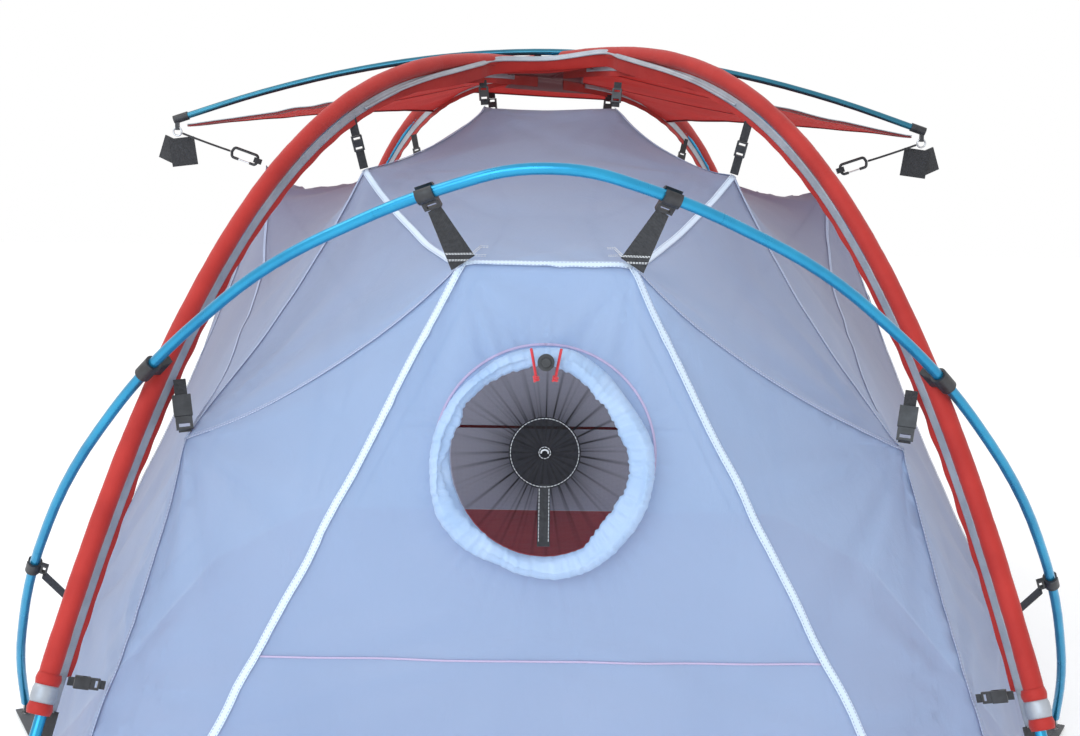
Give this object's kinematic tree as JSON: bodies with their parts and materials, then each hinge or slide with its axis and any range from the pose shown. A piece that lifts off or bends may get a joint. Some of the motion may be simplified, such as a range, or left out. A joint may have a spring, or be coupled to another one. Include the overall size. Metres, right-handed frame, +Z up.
{
  "type": "dome tent",
  "caption": "Freestanding dome tent with crossed poles in sleeves, end hoops, a brow pole, hung inner tent, end vent and side doors.",
  "frame": {"origin": "middle of the floor at ground level", "axes": "+X to the right seen from the vent end, +Y from the vent end to the rear end, +Z up"},
  "size_m": [1.6236, 2.198, 1.0482],
  "materials": {
    "black_plastic": "moulded acetal, slightly glossy",
    "black_webbing": "woven polyester webbing",
    "blue_tube": "blue anodised, satin",
    "teal_tube": "dark teal-blue anodised, satin",
    "bare_aluminium": "bare drawn tube",
    "tip_metal": "turned",
    "steel_wire": "drawn wire",
    "red_fabric": "ripstop nylon with grey reflective tape",
    "floor_fabric": "coated red nylon",
    "white_fabric": "light gathered nylon",
    "inner_fabric": "thin translucent pale blue ripstop",
    "black_mesh": "fine insect netting",
    "red_cord": "braided cord",
    "black_cord": "braided cord"
  },
  "bodies": {
    "tent": {"brow_pole": "teal_tube", "brow_pole_caps": "black_plastic", "brow_tip_rings": "steel_wire", "brow_tip_tabs": "black_webbing", "buckle_plugs": "black_plastic", "buckle_sockets": "black_plastic", "corner_panel_front_left": "inner_fabric", "corner_panel_front_right": "inner_fabric", "corner_panel_rear_left": "inner_fabric", "corner_panel_rear_right": "inner_fabric", "crossing_connectors": "black_plastic", "crossing_straps": "black_webbing", "crown_cap": "red_fabric", "floor": "floor_fabric", "foot_tabs": "black_webbing", "front_end_panel": "inner_fabric", "front_hoop_pole": "blue_tube", "hoop_clips": "black_plastic", "hoop_straps": "black_webbing", "lower_straps": "black_webbing", "main_pole_left": "blue_tube", "main_pole_right": "blue_tube", "pole_end_tips": "tip_metal", "pole_ferrules": "bare_aluminium", "rear_end_panel": "inner_fabric", "rear_hoop_pole": "blue_tube", "roof_clip_straps": "black_webbing", "roof_clips": "black_plastic", "roof_panel": "inner_fabric", "shoulder_loops": "black_webbing", "shoulder_panel_left": "inner_fabric", "shoulder_panel_right": "inner_fabric", "side_panel_front_left": "inner_fabric", "side_panel_front_right": "inner_fabric", "side_panel_rear_left": "inner_fabric", "side_panel_rear_right": "inner_fabric", "side_wall_left": "inner_fabric", "side_wall_right": "inner_fabric", "sleeve_cuffs": "red_fabric", "sleeve_end_straps": "black_webbing", "sleeve_front_left": "red_fabric", "sleeve_front_right": "red_fabric", "sleeve_rear_left": "red_fabric", "sleeve_rear_right": "red_fabric", "snap_hook_left": "black_plastic", "snap_hook_right": "black_plastic", "tip_cords": "black_cord", "vent_collar": "white_fabric", "vent_cord_lock": "black_plastic", "vent_drawcord": "red_cord", "vent_mesh": "black_mesh", "vent_mesh_disc": "black_mesh", "vent_webbing": "black_webbing", "wing_left": "red_fabric", "wing_right": "red_fabric"},
    "door_right": {"door_right": "inner_fabric"},
    "door_left": {"door_left": "inner_fabric"},
    "gate_right": {"snap_gate_right": "steel_wire"},
    "gate_left": {"snap_gate_left": "steel_wire"},
    "cord_lock_button": {"vent_cord_lock_button": "black_plastic"}
  },
  "joints": [
    {"name": "door_right_swing", "type": "hinge", "parent": "tent", "child": "door_right", "pos_m": [0.6827, 0.33, 0.11], "axis": [-0.2366, -0.3938, 0.8882], "range_deg": [0, 100]},
    {"name": "door_left_swing", "type": "hinge", "parent": "tent", "child": "door_left", "pos_m": [-0.6827, 0.33, 0.11], "axis": [-0.2366, 0.3938, -0.8882], "range_deg": [0, 100]},
    {"name": "gate_right_swing", "type": "hinge", "parent": "tent", "child": "gate_right", "pos_m": [0.53716, 0, 0.85227], "axis": [0, 1, 0], "range_deg": [0, 20], "stiffness_Nm_per_rad": 0.02, "springref_deg": -11.46},
    {"name": "gate_left_swing", "type": "hinge", "parent": "tent", "child": "gate_left", "pos_m": [-0.53716, 0, 0.85227], "axis": [0, -1, 0], "range_deg": [0, 20], "stiffness_Nm_per_rad": 0.02, "springref_deg": -11.46},
    {"name": "cord_lock_press", "type": "slide", "parent": "tent", "child": "cord_lock_button", "axis": [0, 0.9952, -0.0974], "range_m": [0, 0.004], "stiffness_N_per_m": 300, "springref_m": -0.002}
  ]
}
